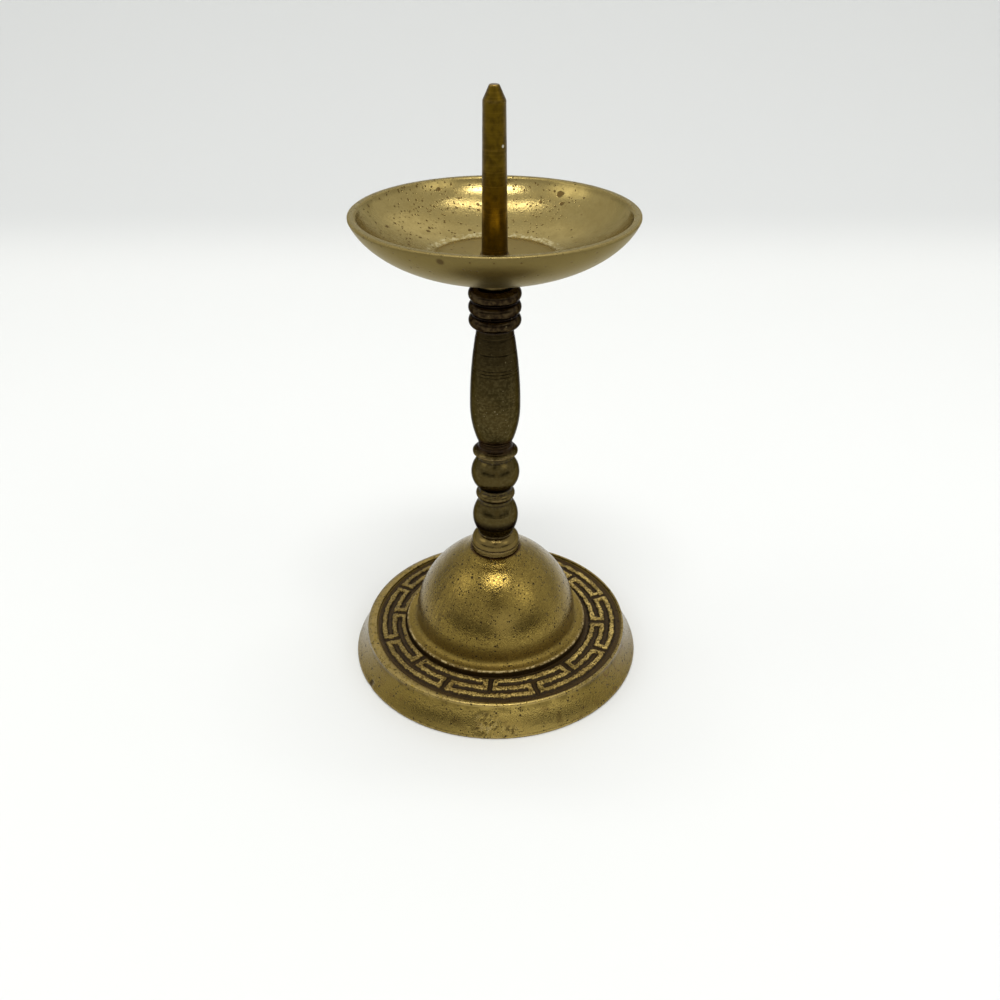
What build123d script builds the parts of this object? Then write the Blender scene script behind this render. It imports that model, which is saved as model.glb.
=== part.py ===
from build123d import *
import math
import os

# Pricket candle stand in cast and turned brass. Millimetres, +Z up, origin on the
# ground under the middle of the foot. Every piece is round about the Z axis.

# Base casting, from the dome outwards
DOME_RADIUS = 19.5
FLANGE_WIDTH = 2.7
KEY_INNER_CHANNEL = 0.8
KEY_LINE_WIDTH = 1.2
KEY_LINE_GAP = 1.15
KEY_OUTER_CHANNEL = 2.1
RIM_WIDTH = 1.0
SKIRT_FLARE = 3.4

# Base casting, from the ground upwards
RIM_HEIGHT = 7.5
KEY_DEPTH = 0.7
FLANGE_RISE = 2.0
FLANGE_DISH = 0.3
DOME_EQUATOR_RISE = 1.7
DOME_FLAT_DEPTH = 0.8

# Base casting, edges and walls
RIM_BAND_HEIGHT = 1.1
RIM_EDGE_ROUND = 0.4
SKIRT_HOLLOW = 0.4
FOOT_EDGE_ROUND = 0.4
DOME_FOOT_ROUND = 0.35
FLANGE_EDGE_ROUND = 0.3
FOOT_RING_WIDTH = 3.2
CASTING_WALL = 2.6
HOLLOW_ROUND = 1.0
CROWN_THICKNESS = 3.4

# Key pattern: three rings of line, cut by slots that alternate inwards and outwards
KEY_COUNT = 8
KEY_LINES = 3
KEY_SLOT_WIDTH = 1.2
KEY_TURN = -94.4

# Stem, from the dome upwards
STEM_FLANGE_RADIUS = 5.65
STEM_FLANGE_HEIGHT = 1.4
STEM_GROOVE_RADIUS = 5.4
STEM_GROOVE_HEIGHT = 0.2
COLLAR_RADIUS = 5.6
COLLAR_BAND_HEIGHT = 0.45
COLLAR_ROUND_HEIGHT = 2.3
COLLAR_NECK_HEIGHT = 0.35
NECK_RADIUS = 3.85
LOWER_BALL_RADIUS = 5.3
LOWER_BALL_HEIGHT = 8.4
LOWER_RING_RADIUS = 4.5
LOWER_RING_HEIGHT = 2.0
UPPER_BALL_RADIUS = 5.53
UPPER_BALL_HEIGHT = 7.6
UPPER_RING_RADIUS = 5.1
UPPER_RING_UNDERSIDE_HEIGHT = 0.6
UPPER_RING_EDGE_HEIGHT = 0.45
UPPER_RING_TOP_HEIGHT = 1.25
NECK_HEIGHT = 0.85
BALUSTER_COVE_HEIGHT = 1.1
BALUSTER_FOOT_RADIUS = 3.85
BELLY_RADIUS = 5.56
BELLY_RISE = 8.6
BALUSTER_TAPER_HEIGHT = 17.9
BALUSTER_TOP_RADIUS = 3.95
BALUSTER_NECK_HEIGHT = 0.55
TOP_RINGS = 3
TOP_RING_RADIUS = 5.58
TOP_RING_PITCH = 2.92
TOP_RING_ROOT_RADIUS = 4.7
SEAT_RADIUS = 4.3

# Drip pan, an oval bowl on a short boss
PAN_BOSS_RADIUS = 3.5
PAN_BOSS_HEIGHT = 2.75
PAN_BOWL_RADIUS = 29.75
PAN_BOWL_DEPTH = 15.55
PAN_RIM_DROP = 3.0
PAN_WALL = 1.55
PAN_BOTTOM_WALL = 2.1
PAN_FLOOR_THICKNESS = 3.55
PAN_BOSS_ROUND = 0.8
PAN_LIP_ROUND = 0.3

# Spike
SPIKE_SHOULDER_RADIUS = 2.95
SPIKE_SHOULDER_HEIGHT = 0.6
SPIKE_FOOT_RADIUS = 2.65
SPIKE_TOP_RADIUS = 2.26
SPIKE_SHANK_HEIGHT = 29.0
SPIKE_POINT_HEIGHT = 2.8
SPIKE_TIP_RADIUS = 0.95
SPIKE_TIP_ROUND = 0.3

# Fastenings
SPIKE_THREAD_RADIUS = 2.0
SPIKE_THREAD_PITCH = 0.7
SPIKE_THREAD_TURNS = 12
STEM_BORE_SPARE = 1.2
STUD_RADIUS = 2.5
STUD_SPARE = 1.5
THREAD_END_CHAMFER = 0.5
WASHER_RADIUS = 5.5
WASHER_THICKNESS = 1.0
NUT_ACROSS_FLATS = 8.0
NUT_THICKNESS = 4.0
NUT_CHAMFER_SLOPE = 30
THREAD_CLEARANCE = 0.05
HOLE_CLEARANCE = 0.25

# How far a cutting or joining shape runs past the face it crosses
OVERRUN = 0.5

# How near an edge has to lie to the place named for it, as a share of its rounding
edge_match_share = 0.1

# Radii worked out from the dome outwards
flange_radius = DOME_RADIUS + FLANGE_WIDTH
key_pitch = KEY_LINE_WIDTH + KEY_LINE_GAP
key_first_radius = flange_radius + KEY_INNER_CHANNEL + KEY_LINE_WIDTH / 2
key_outer_radius = key_first_radius + key_pitch * (KEY_LINES - 1) + KEY_LINE_WIDTH / 2
rim_inner_radius = key_outer_radius + KEY_OUTER_CHANNEL
rim_radius = rim_inner_radius + RIM_WIDTH
foot_radius = rim_radius + SKIRT_FLARE

# Heights worked out from the ground upwards
band_floor = RIM_HEIGHT - KEY_DEPTH
flange_height = band_floor + FLANGE_RISE
dome_centre = flange_height + DOME_EQUATOR_RISE
stem_foot = dome_centre + DOME_RADIUS - DOME_FLAT_DEPTH
crown_underside = stem_foot - CROWN_THICKNESS
nut_top = crown_underside - WASHER_THICKNESS
stud_end = nut_top - NUT_THICKNESS - STUD_SPARE
stud_hole_radius = STUD_RADIUS + HOLE_CLEARANCE
stem_bore_radius = SPIKE_THREAD_RADIUS + THREAD_CLEARANCE
spike_thread_length = SPIKE_THREAD_PITCH * SPIKE_THREAD_TURNS


class Turning:
    """Half outline of a turned piece, drawn as radius and height, then spun about Z."""

    def __init__(self, radius, height):
        self.start = (radius, height)
        self.at = self.start
        self.edges = []

    def to(self, radius, height):
        """Straight cut to a radius and height."""
        self.edges.append(Line(self.at, (radius, height)))
        self.at = (radius, height)

    def rise(self, amount):
        """Straight cut upwards."""
        self.to(self.at[0], self.at[1] + amount)

    def step(self, radius):
        """Flat cut to a radius."""
        self.to(radius, self.at[1])

    def through(self, middle, radius, height):
        """Round cut through a middle point."""
        self.edges.append(ThreePointArc(self.at, middle, (radius, height)))
        self.at = (radius, height)

    def bead(self, crown_radius, height, end_radius):
        """Round cut that swells or sinks to the crown radius halfway up."""
        foot = self.at[1]
        self.through((crown_radius, foot + height / 2), end_radius, foot + height)

    def tangent(self, radius, height, direction):
        """Round cut that leaves along the given direction."""
        self.edges.append(TangentArc(self.at, (radius, height), tangent=direction))
        self.at = (radius, height)

    def arrive(self, radius, height, direction):
        """Round cut that comes in along the given direction."""
        back = (-direction[0], -direction[1])
        self.edges.append(TangentArc((radius, height), self.at, tangent=back))
        self.at = (radius, height)

    def face(self):
        """The closed half section, on the plane through the axis."""
        closing = [Line(self.at, self.start)] if self.at != self.start else []
        return Plane.XZ * make_face(self.edges + closing)

    def solid(self):
        return revolve(self.face(), axis=Axis.Z)


def ring_face(middle_radius, width):
    """Flat ring of the given width."""
    return Circle(middle_radius + width / 2) - Circle(middle_radius - width / 2)


def key_line(index):
    """Middle radius of one of the key pattern's rings of line, counted from the dome."""
    return key_first_radius + key_pitch * index


def key_bars(inner_line, length, width, turn):
    """Radial bars midway between a line and the next one out, one for each repeat of the pattern."""
    middle = key_line(inner_line) + key_pitch / 2
    return Sketch() + [place * Rectangle(length, width) for place in PolarLocations(middle, KEY_COUNT, turn)]


def key_relief():
    """One unbroken key line round the base: each slot turns the line back beside it."""
    half_repeat = 360 / KEY_COUNT / 2
    linked_width = KEY_SLOT_WIDTH + KEY_LINE_WIDTH * 2
    lines = Sketch() + [ring_face(key_line(index), KEY_LINE_WIDTH) for index in range(KEY_LINES)]
    slots = []
    for inner_line, turn in ((0, KEY_TURN), (1, KEY_TURN + half_repeat)):
        lines += key_bars(inner_line, key_pitch, linked_width, turn)
        slots.append(key_bars(inner_line, key_pitch * 2, KEY_SLOT_WIDTH, turn))
    for slot in slots:
        lines -= slot
    return Pos(0, 0, band_floor - OVERRUN) * extrude(lines, KEY_DEPTH + OVERRUN)


def round_at(solid, radius, height, amount):
    """Round the circular edge that lies at a radius and height."""
    near = amount * edge_match_share

    def at_place(edge):
        box = edge.bounding_box()
        level = max(abs(box.min.Z - height), abs(box.max.Z - height)) < near
        return level and abs(box.max.X - radius) < near and abs(box.min.X + radius) < near
    return fillet(solid.edges().filter_by(at_place), amount)


def base_outside():
    """Skirt, rim, sunk band, flange and dome, solid down to the ground."""
    dome_foot_height = flange_height - FLANGE_DISH
    dome_foot_radius = math.sqrt(DOME_RADIUS ** 2 - (dome_centre - dome_foot_height) ** 2)
    flat_radius = math.sqrt(DOME_RADIUS ** 2 - (stem_foot - dome_centre) ** 2)
    skirt_top = RIM_HEIGHT - RIM_BAND_HEIGHT
    outline = Turning(0, 0)
    outline.step(foot_radius)
    skirt_middle = ((foot_radius + rim_radius) / 2 - SKIRT_HOLLOW, skirt_top / 2)
    outline.through(skirt_middle, rim_radius, skirt_top)
    outline.rise(RIM_BAND_HEIGHT)
    outline.step(rim_inner_radius)
    outline.rise(-KEY_DEPTH)
    outline.step(flange_radius)
    outline.rise(FLANGE_RISE)
    outline.to(dome_foot_radius, dome_foot_height)
    bulge = math.radians(45)
    shoulder = (DOME_RADIUS * math.cos(bulge), dome_centre + DOME_RADIUS * math.sin(bulge))
    outline.through(shoulder, flat_radius, stem_foot)
    outline.step(0)
    body = outline.solid()
    body = round_at(body, foot_radius, 0, FOOT_EDGE_ROUND)
    body = round_at(body, rim_radius, RIM_HEIGHT, RIM_EDGE_ROUND)
    body = round_at(body, flange_radius, flange_height, FLANGE_EDGE_ROUND)
    return round_at(body, dome_foot_radius, dome_foot_height, DOME_FOOT_ROUND)


def base_hollow():
    """The space cast under the skirt and dome, with a flat pad under the crown."""
    inner_dome = DOME_RADIUS - CASTING_WALL
    ceiling = band_floor - CASTING_WALL
    pad_radius = math.sqrt(inner_dome ** 2 - (crown_underside - dome_centre) ** 2)
    outline = Turning(0, -OVERRUN)
    outline.step(foot_radius - FOOT_RING_WIDTH)
    outline.rise(OVERRUN)
    outline.to(rim_radius - CASTING_WALL, ceiling)
    outline.step(inner_dome)
    outline.to(inner_dome, dome_centre)
    outline.tangent(pad_radius, crown_underside, (0, 1))
    outline.step(0)
    return round_at(outline.solid(), inner_dome, ceiling, HOLLOW_ROUND)


def make_base():
    body = base_outside() + key_relief() - base_hollow()
    hole = Pos(0, 0, stem_foot + OVERRUN) * Cylinder(
        stud_hole_radius, CROWN_THICKNESS + OVERRUN * 2, align=(Align.CENTER, Align.CENTER, Align.MAX))
    return body - hole


def make_stem():
    """Collar, two balls between rings, baluster and top rings, with a stud below and a bore above."""
    outline = Turning(0, stud_end)
    outline.step(STUD_RADIUS - THREAD_END_CHAMFER)
    outline.to(STUD_RADIUS, stud_end + THREAD_END_CHAMFER)
    outline.to(STUD_RADIUS, stem_foot)
    outline.step(STEM_FLANGE_RADIUS)
    outline.rise(STEM_FLANGE_HEIGHT)
    outline.step(STEM_GROOVE_RADIUS)
    outline.rise(STEM_GROOVE_HEIGHT)
    outline.step(COLLAR_RADIUS)
    outline.rise(COLLAR_BAND_HEIGHT)
    outline.tangent(NECK_RADIUS, outline.at[1] + COLLAR_ROUND_HEIGHT, (0, 1))
    outline.rise(COLLAR_NECK_HEIGHT)
    outline.bead(LOWER_BALL_RADIUS, LOWER_BALL_HEIGHT, NECK_RADIUS)
    outline.rise(NECK_HEIGHT)
    outline.bead(LOWER_RING_RADIUS, LOWER_RING_HEIGHT, NECK_RADIUS)
    outline.rise(NECK_HEIGHT)
    outline.bead(UPPER_BALL_RADIUS, UPPER_BALL_HEIGHT, NECK_RADIUS)
    outline.rise(NECK_HEIGHT)
    outline.to(UPPER_RING_RADIUS, outline.at[1] + UPPER_RING_UNDERSIDE_HEIGHT)
    outline.rise(UPPER_RING_EDGE_HEIGHT)
    outline.to(BALUSTER_FOOT_RADIUS, outline.at[1] + UPPER_RING_TOP_HEIGHT)
    outline.rise(BALUSTER_COVE_HEIGHT)
    outline.arrive(BELLY_RADIUS, outline.at[1] + BELLY_RISE, (0, 1))
    outline.tangent(BALUSTER_TOP_RADIUS, outline.at[1] + BALUSTER_TAPER_HEIGHT, (0, 1))
    outline.rise(BALUSTER_NECK_HEIGHT)
    for ring in range(TOP_RINGS):
        last = ring == TOP_RINGS - 1
        outline.bead(TOP_RING_RADIUS, TOP_RING_PITCH, SEAT_RADIUS if last else TOP_RING_ROOT_RADIUS)
    top = outline.at[1]
    outline.step(stem_bore_radius)
    outline.rise(-spike_thread_length - STEM_BORE_SPARE)
    outline.step(0)
    return outline.solid(), top


def make_drip_pan(seat):
    """Oval bowl with a flat floor, on a boss that stands on the stem."""
    bowl_bottom = seat + PAN_BOSS_HEIGHT
    bowl_centre = bowl_bottom + PAN_BOWL_DEPTH
    rim = bowl_centre - PAN_RIM_DROP
    floor = bowl_bottom + PAN_FLOOR_THICKNESS
    inner_radius = PAN_BOWL_RADIUS - PAN_WALL
    inner_depth = PAN_BOWL_DEPTH - PAN_BOTTOM_WALL

    def bowl(radius, depth):
        half_oval = Plane.XZ * Pos(0, bowl_centre) * Ellipse(radius, depth)
        right_half = Plane.XZ * Pos(0, bowl_centre) * Rectangle(
            radius + OVERRUN, (depth + OVERRUN) * 2, align=(Align.MIN, Align.CENTER))
        return revolve(half_oval & right_half, axis=Axis.Z)

    def above(height):
        size = (PAN_BOWL_RADIUS + OVERRUN) * 2
        return Pos(0, 0, height) * Box(size, size, size, align=(Align.CENTER, Align.CENTER, Align.MIN))

    outside = bowl(PAN_BOWL_RADIUS, PAN_BOWL_DEPTH) - above(rim)
    inside = bowl(inner_radius, inner_depth) & above(floor)
    outer_rim_radius = PAN_BOWL_RADIUS * math.sqrt(1 - (PAN_RIM_DROP / PAN_BOWL_DEPTH) ** 2)
    inner_rim_radius = inner_radius * math.sqrt(1 - (PAN_RIM_DROP / inner_depth) ** 2)
    boss = Pos(0, 0, seat) * Cylinder(
        PAN_BOSS_RADIUS, PAN_BOSS_HEIGHT + PAN_FLOOR_THICKNESS / 2,
        align=(Align.CENTER, Align.CENTER, Align.MIN))
    hole = Pos(0, 0, seat - OVERRUN) * Cylinder(
        SPIKE_THREAD_RADIUS + HOLE_CLEARANCE, floor - seat + OVERRUN * 2,
        align=(Align.CENTER, Align.CENTER, Align.MIN))
    boss_top = bowl_centre - PAN_BOWL_DEPTH * math.sqrt(1 - (PAN_BOSS_RADIUS / PAN_BOWL_RADIUS) ** 2)
    body = outside + boss - inside
    body = round_at(body, PAN_BOSS_RADIUS, boss_top, PAN_BOSS_ROUND)
    body = round_at(body, outer_rim_radius, rim, PAN_LIP_ROUND)
    body = round_at(body, inner_rim_radius, rim, PAN_LIP_ROUND)
    return body - hole, floor


def make_spike(floor, seat):
    """Tapered spike with a blunt point, a shoulder on the pan floor and a tail into the stem."""
    tail_end = seat - spike_thread_length
    outline = Turning(0, tail_end)
    outline.step(SPIKE_THREAD_RADIUS - THREAD_END_CHAMFER)
    outline.to(SPIKE_THREAD_RADIUS, tail_end + THREAD_END_CHAMFER)
    outline.to(SPIKE_THREAD_RADIUS, floor)
    outline.step(SPIKE_SHOULDER_RADIUS)
    outline.rise(SPIKE_SHOULDER_HEIGHT)
    outline.step(SPIKE_FOOT_RADIUS)
    outline.to(SPIKE_TOP_RADIUS, outline.at[1] + SPIKE_SHANK_HEIGHT)
    outline.to(SPIKE_TIP_RADIUS, outline.at[1] + SPIKE_POINT_HEIGHT)
    tip = outline.at[1]
    outline.step(0)
    return round_at(outline.solid(), SPIKE_TIP_RADIUS, tip, SPIKE_TIP_ROUND)


def make_washer():
    ring = ring_face((WASHER_RADIUS + stud_hole_radius) / 2, WASHER_RADIUS - stud_hole_radius)
    return Pos(0, 0, nut_top) * extrude(ring, WASHER_THICKNESS)


def make_nut():
    """Hexagon nut, its corners turned off at both ends."""
    hexagon = RegularPolygon(NUT_ACROSS_FLATS / 2, 6, major_radius=False)
    blank = extrude(hexagon - Circle(STUD_RADIUS + THREAD_CLEARANCE), NUT_THICKNESS)
    corner_radius = NUT_ACROSS_FLATS / 2 / math.cos(math.radians(30))
    fall = (corner_radius - NUT_ACROSS_FLATS / 2) * math.tan(math.radians(NUT_CHAMFER_SLOPE))
    outline = Turning(0, 0)
    outline.step(NUT_ACROSS_FLATS / 2)
    outline.to(corner_radius, fall)
    outline.to(corner_radius, NUT_THICKNESS - fall)
    outline.to(NUT_ACROSS_FLATS / 2, NUT_THICKNESS)
    outline.step(0)
    return Pos(0, 0, nut_top - NUT_THICKNESS) * (blank & outline.solid())


stem, stem_top = make_stem()
drip_pan, pan_floor = make_drip_pan(stem_top)
pieces = {
    "base": make_base(),
    "stem": stem,
    "drip_pan": drip_pan,
    "spike": make_spike(pan_floor, stem_top),
    "base_washer": make_washer(),
    "base_nut": make_nut(),
}

os.makedirs("parts", exist_ok=True)
for name, piece in pieces.items():
    export_step(piece, f"parts/{name}.step")
    low, high = piece.bounding_box().min, piece.bounding_box().max
    print(f"{name}: {len(piece.solids())} solid, {piece.volume:.1f} mm3, z {low.Z:.2f} to {high.Z:.2f}")
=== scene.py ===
# %% [markdown]
# # A brass pricket candle stand
# A pricket is a candle holder with a spike instead of a cup. This one is four pieces of brass: a cast foot
# with a key pattern round it, a turned stem, a turned drip pan, and a spike that screws through the pan
# into the stem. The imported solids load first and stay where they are. Every piece that is made here takes
# its outline from its solid, so nothing has to be fitted afterwards.

# %% Load the frame
import math

import bmesh
import bpy
import numpy as np
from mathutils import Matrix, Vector, noise


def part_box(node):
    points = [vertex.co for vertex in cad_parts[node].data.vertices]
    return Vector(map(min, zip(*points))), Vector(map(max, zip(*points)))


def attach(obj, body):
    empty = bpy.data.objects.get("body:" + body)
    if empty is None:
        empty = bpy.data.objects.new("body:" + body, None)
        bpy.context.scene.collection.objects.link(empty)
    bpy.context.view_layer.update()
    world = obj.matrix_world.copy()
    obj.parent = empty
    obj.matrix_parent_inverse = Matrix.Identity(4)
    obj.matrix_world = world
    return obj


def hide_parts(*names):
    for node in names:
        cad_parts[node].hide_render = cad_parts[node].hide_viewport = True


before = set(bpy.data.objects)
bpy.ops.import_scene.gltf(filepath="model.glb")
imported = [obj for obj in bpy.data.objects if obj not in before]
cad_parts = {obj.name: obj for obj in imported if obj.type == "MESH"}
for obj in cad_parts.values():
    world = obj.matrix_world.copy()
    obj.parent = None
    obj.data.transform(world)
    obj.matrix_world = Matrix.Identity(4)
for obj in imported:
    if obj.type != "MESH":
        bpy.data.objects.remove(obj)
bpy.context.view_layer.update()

MM = 0.001

# %% [markdown]
# ## Camera
# The photograph was taken from close by, about 40 degrees above the foot, so the pan looks wide and the
# foot small. The focal length and the place of the camera were found from the ovals of the pan and the
# foot. A focal length that is known in pixels becomes a lens in millimetres through the width of the
# sensor.

# %% Camera
SENSOR_WIDTH = 36.0
PHOTO_SIDE = 1000.0
FOCAL_PIXELS = 984.0
CAMERA_PLACE = (0.0, -195.06 * MM, 162.82 * MM)
CAMERA_PITCH = 31.804
CAMERA_YAW = 0.311

scene = bpy.context.scene
camera = bpy.data.objects.new("camera", bpy.data.cameras.new("camera"))
camera.data.sensor_width = SENSOR_WIDTH
camera.data.lens = SENSOR_WIDTH * FOCAL_PIXELS / PHOTO_SIDE
camera.data.clip_start = 10 * MM
camera.location = CAMERA_PLACE
camera.rotation_euler = (math.radians(90 - CAMERA_PITCH), 0, math.radians(-CAMERA_YAW))
scene.collection.objects.link(camera)
scene.camera = camera
scene.view_settings.view_transform = "Standard"
print(f"camera: lens {camera.data.lens:.2f} mm, {CAMERA_PITCH} degrees down")

# %% [markdown]
# ## Wiring nodes
# Materials, the sky and the Geometry Nodes trees are all node trees, so one small helper serves them all. A
# value that is a socket is linked, and anything else is set on the socket.

# %% A helper that adds nodes and links them


class Wiring:
    """Adds nodes to one tree."""

    def __init__(self, tree):
        self.tree = tree

    def add(self, kind, values=None, **settings):
        """A new node: settings are its own properties, values feed its inputs by name or number."""
        node = self.tree.nodes.new(kind)
        for name, setting in settings.items():
            setattr(node, name, setting)
        for name, value in (values or {}).items():
            self.feed(node.inputs[name], value)
        return node

    def feed(self, socket, value):
        if isinstance(value, bpy.types.NodeSocket):
            self.tree.links.new(value, socket)
        else:
            socket.default_value = value

    def math(self, operation, *values):
        return self.add("ShaderNodeMath", dict(enumerate(values)), operation=operation).outputs[0]

    def vector(self, operation, first, second=(0, 0, 0)):
        """Vector maths. The number that scales a vector has a socket of its own."""
        values = {0: first, 3 if operation == "SCALE" else 1: second}
        outputs = self.add("ShaderNodeVectorMath", values, operation=operation).outputs
        return outputs["Value" if operation in ("LENGTH", "DISTANCE", "DOT_PRODUCT") else "Vector"]

    def fade(self, value, start, end):
        """0 at the start value, 1 at the end value, and smooth between them."""
        values = {"Value": value, "From Min": start, "From Max": end}
        return self.add("ShaderNodeMapRange", values, interpolation_type="SMOOTHSTEP").outputs[0]

    def mix(self, factor, first, second):
        """A colour between two colours."""
        node = self.add("ShaderNodeMix", {0: factor, 6: first, 7: second}, data_type="RGBA")
        return node.outputs[2]

    def noise(self, vector, scale, detail=2.0, seed=0.0):
        values = {"Vector": vector, "Scale": scale, "Detail": detail, "W": seed}
        return self.add("ShaderNodeTexNoise", values, noise_dimensions="4D").outputs[0]

    def scaled(self, mask, share):
        return self.math("MULTIPLY", mask, share)

    def joined(self, operation, masks):
        result = masks[0]
        for mask in masks[1:]:
            result = self.math(operation, result, mask)
        return result

    def most(self, *masks):
        """The strongest of several masks."""
        return self.joined("MAXIMUM", masks)

    def both(self, *masks):
        """Strong only where every mask is."""
        return self.joined("MULTIPLY", masks)

    def window(self, value, start, full, fading, end):
        """1 between the two middle values, and 0 beyond the outer ones."""
        return self.both(self.fade(value, start, full), self.fade(value, end, fading))

    def layered(self, plain, layers):
        """Lays (mask, share, colour) layers over a plain colour, from the lowest to the top."""
        colour = (*plain, 1)
        for mask, share, tone in layers:
            tone = tone if isinstance(tone, bpy.types.NodeSocket) else (*tone, 1)
            colour = self.mix(self.scaled(mask, share), colour, tone)
        return colour


def open_group(name, kind, inputs, outputs):
    """A new node group with named sockets. Returns its wiring, its inputs by name and its output node."""
    tree = bpy.data.node_groups.new(name, kind)
    for direction, sockets in (("INPUT", inputs), ("OUTPUT", outputs)):
        for socket_name, socket_type in sockets.items():
            tree.interface.new_socket(socket_name, in_out=direction, socket_type="NodeSocket" + socket_type)
    wiring = Wiring(tree)
    entry = tree.nodes.new("NodeGroupInput")
    return wiring, {socket.name: socket for socket in entry.outputs}, tree.nodes.new("NodeGroupOutput")


# %% [markdown]
# ## Floor and backdrop
# The stand is on a white sheet that sweeps up behind it. A sweep has no corner, so no line shows where the
# floor ends. It is one strip of mesh: flat, then a quarter of a circle, then upright.

# %% Floor and backdrop
SWEEP_START = 0.24
SWEEP_RADIUS = 0.22
SWEEP_HALF_WIDTH = 1.6
FLOOR_FRONT = -1.6
BACKDROP_TOP = 0.32
SWEEP_STEPS = 24

sweep_line = [(FLOOR_FRONT, 0.0)]
for step in range(SWEEP_STEPS + 1):
    turn = math.radians(90) * step / SWEEP_STEPS
    sweep_line.append((SWEEP_START + SWEEP_RADIUS * math.sin(turn), SWEEP_RADIUS * (1 - math.cos(turn))))
sweep_line.append((SWEEP_START + SWEEP_RADIUS, BACKDROP_TOP))
sweep_points = [(side * SWEEP_HALF_WIDTH, y, z) for y, z in sweep_line for side in (-1, 1)]
sweep_faces = [(2 * i, 2 * i + 1, 2 * i + 3, 2 * i + 2) for i in range(len(sweep_line) - 1)]
floor_mesh = bpy.data.meshes.new("floor")
floor_mesh.from_pydata(sweep_points, [], sweep_faces)
floor_mesh.polygons.foreach_set("use_smooth", [True] * len(sweep_faces))
floor = bpy.data.objects.new("floor", floor_mesh)
scene.collection.objects.link(floor)

paper = bpy.data.materials.new("white_paper")
paper.use_nodes = True
wiring = Wiring(paper.node_tree)
paper_shader = paper.node_tree.nodes["Principled BSDF"]
paper_place = wiring.add("ShaderNodeTexCoord").outputs["Object"]
paper_fibre = wiring.noise(paper_place, 3.0)
paper_rise = wiring.fade(wiring.add("ShaderNodeSeparateXYZ", {0: paper_place}).outputs[2], 0.0, 0.02)
paper_colour = wiring.mix(paper_fibre, (0.806, 0.815, 0.80, 1), (0.824, 0.83, 0.82, 1))
# painted shade: the sheet is painted greyer where it rises into the backdrop
paper_colour = wiring.mix(paper_rise, paper_colour, (0.69, 0.70, 0.695, 1))
wiring.feed(paper_shader.inputs["Base Color"], paper_colour)
paper_shader.inputs["Roughness"].default_value = 0.8
paper_shader.inputs["Specular IOR Level"].default_value = 0.1
floor_mesh.materials.append(paper)
print("floor:", len(sweep_faces), "strips")

# %% [markdown]
# ## Light
# Polished metal shows what stands round it, so the surroundings matter more than the lamps. The sky here is
# a pale room, with a dim band in front that starts at the edge of the table. On it lie soft round patches:
# a bright window at either side, a dim patch high in the middle and a paler one below it. A direction in
# the sky is easiest to think of as a turn to the side and a height, both in degrees. Looked at straight,
# the sky is plain, so that the patches show only in the metal.

# %% Sky
ROOM_LIGHT = (0.79, 0.795, 0.80, 1)
CEILING_LIGHT = (0.82, 0.82, 0.81, 1)
ROOM_SHADE = (0.12, 0.115, 0.10, 1)
DIM = (0.20, 0.19, 0.17, 1)
PALE = (0.72, 0.70, 0.65, 1)
WINDOW = (2.0, 2.0, 1.9, 1)
CEILING_RISE = (35.0, 60.0)
DIM_BAND = (-2.0, 1.0, 9.0, 22.0)
FRONT = (-0.15, -0.55)
PATCHES = [
    (0.0, 47.0, 15.0, DIM),
    (9.0, 15.0, 17.0, PALE),
    (-86.0, 44.0, 18.0, WINDOW),
    (61.0, 43.0, 15.0, WINDOW),
]
PATCH_CORE_SHARE = 0.4

sky = bpy.data.worlds.new("pale_room")
scene.world = sky
sky.use_nodes = True
wiring = Wiring(sky.node_tree)
direction = wiring.add("ShaderNodeTexCoord").outputs["Generated"]
heading = wiring.add("ShaderNodeSeparateXYZ", {0: direction}).outputs
rise = wiring.math("DEGREES", wiring.math("ARCSINE", heading[2]))
in_front = wiring.fade(heading[1], *FRONT)
room = wiring.mix(wiring.fade(rise, *CEILING_RISE), ROOM_LIGHT, CEILING_LIGHT)
room = wiring.mix(wiring.both(in_front, wiring.window(rise, *DIM_BAND)), room, ROOM_SHADE)
for side, lift, spread, tone in PATCHES:
    turn, climb, reach = (math.radians(degrees) for degrees in (side, lift, spread))
    flat = math.cos(climb)
    middle = (flat * math.sin(turn), -flat * math.cos(turn), math.sin(climb))
    towards = wiring.vector("DOT_PRODUCT", direction, middle)
    patch = wiring.fade(towards, math.cos(reach), math.cos(reach * PATCH_CORE_SHARE))
    room = wiring.mix(patch, room, tone)
looked_at = wiring.add("ShaderNodeLightPath").outputs["Is Camera Ray"]
room = wiring.mix(looked_at, room, ROOM_LIGHT)
wiring.feed(sky.node_tree.nodes["Background"].inputs["Color"], room)
print("sky:", len(sky.node_tree.nodes), "nodes")

# %% [markdown]
# Two long lamps overhead give the bright patch on the dome and the two bright streaks in the pan. A weak
# lamp behind the stand lays its shadow towards the viewer.

# %% Lamps
LAMPS = {
    "front_lamp": ((0.01, -0.30, 1.01), (0.48, 0.18), 3.2),
    "top_lamp": ((0.02, 0.18, 1.08), (0.66, 0.10), 1.5),
    "back_lamp": ((0.12, 0.80, 0.85), (0.9, 0.4), 0.4),
}
for lamp_name, (place, size, power) in LAMPS.items():
    lamp = bpy.data.objects.new(lamp_name, bpy.data.lights.new(lamp_name, "AREA"))
    lamp.data.shape = "RECTANGLE"
    lamp.data.size, lamp.data.size_y = size
    lamp.data.energy = power
    lamp.location = place
    aim = Vector((0, 0, 0.06)) - lamp.location
    lamp.rotation_euler = aim.to_track_quat("-Z", "Y").to_euler()
    scene.collection.objects.link(lamp)
print("lamps:", list(LAMPS))

# %% [markdown]
# ## Reading an outline
# Every piece was turned or cast round, so its whole shape is one outline spun about the axis. The solid
# already has that outline: its mesh keeps a seam on the half plane in front of +X. The seam is read as
# radius and height, and goes round the section with the metal on its left.

# %% Read the outline of a turned solid
WELD = 1e-6


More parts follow.
